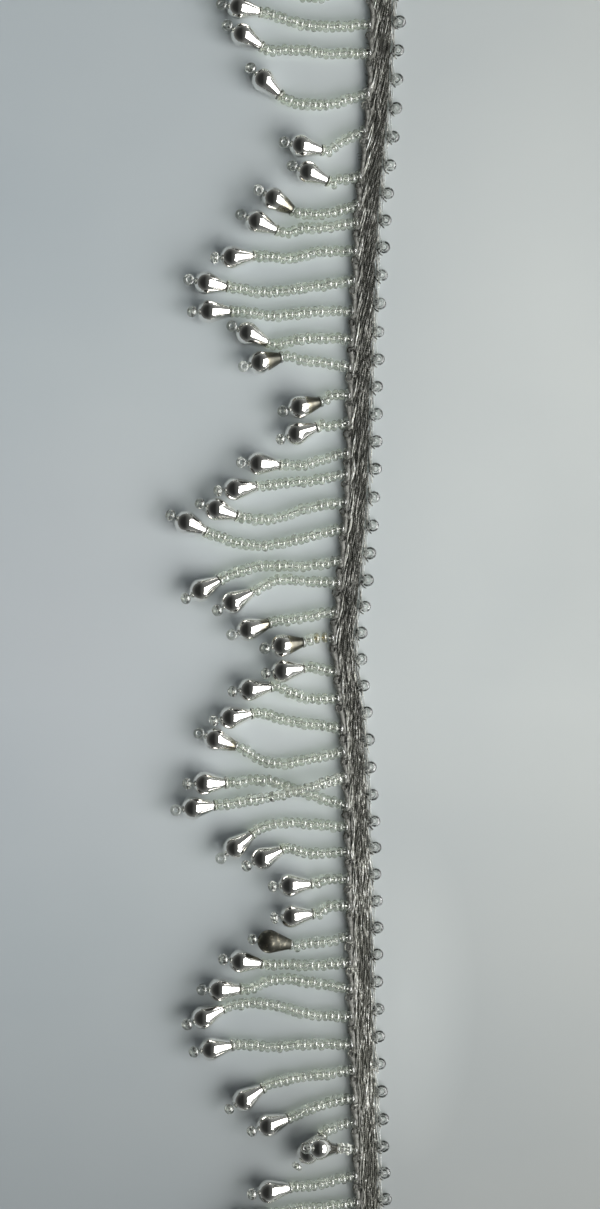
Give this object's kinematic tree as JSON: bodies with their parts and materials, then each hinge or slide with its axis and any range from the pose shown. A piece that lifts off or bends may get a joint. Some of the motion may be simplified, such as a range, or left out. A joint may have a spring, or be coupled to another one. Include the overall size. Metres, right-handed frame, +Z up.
{
  "type": "beaded lace trim",
  "caption": "Flat cut length of narrow metallic braid with a bead edging on one side and a fringe of glass seed bead strings that end in silvered drops.",
  "frame": {"origin": "middle of the braid's flat back, halfway along the cut length", "axes": "+Y along the braid, +Z up out of its face, and the strings hang towards -X"},
  "size_m": [0.0606, 0.3226, 0.0114],
  "materials": {
    "metallic_braid": "woven dark pewter metallised yarn with a soft sheen",
    "clear_beads": "clear glass seed beads, polished, faintly green",
    "clear_edging": "clear glass beads tied with clear nylon",
    "silvered_drop": "mirror silvered, polished"
  },
  "bodies": {
    "root": {"braid": "metallic_braid", "fringe": "clear_beads", "picot_edging": "clear_edging", "drop_00": "silvered_drop", "drop_01": "silvered_drop", "drop_02": "silvered_drop", "drop_03": "silvered_drop", "drop_04": "silvered_drop", "drop_05": "silvered_drop", "drop_06": "silvered_drop", "drop_07": "silvered_drop", "drop_08": "silvered_drop", "drop_09": "silvered_drop", "drop_10": "silvered_drop", "drop_11": "silvered_drop", "drop_12": "silvered_drop", "drop_13": "silvered_drop", "drop_14": "silvered_drop", "drop_15": "silvered_drop", "drop_16": "silvered_drop", "drop_17": "silvered_drop", "drop_18": "silvered_drop", "drop_19": "silvered_drop", "drop_20": "silvered_drop", "drop_21": "silvered_drop", "drop_22": "silvered_drop", "drop_23": "silvered_drop", "drop_24": "silvered_drop", "drop_25": "silvered_drop", "drop_26": "silvered_drop", "drop_27": "silvered_drop", "drop_28": "silvered_drop", "drop_29": "silvered_drop", "drop_30": "silvered_drop", "drop_31": "silvered_drop", "drop_32": "silvered_drop", "drop_33": "silvered_drop", "drop_34": "silvered_drop", "drop_35": "silvered_drop", "drop_36": "silvered_drop", "drop_37": "silvered_drop", "drop_38": "silvered_drop", "drop_39": "silvered_drop", "drop_40": "silvered_drop", "drop_41": "silvered_drop", "drop_42": "silvered_drop", "drop_43": "silvered_drop", "drop_44": "silvered_drop"}
  },
  "joints": []
}
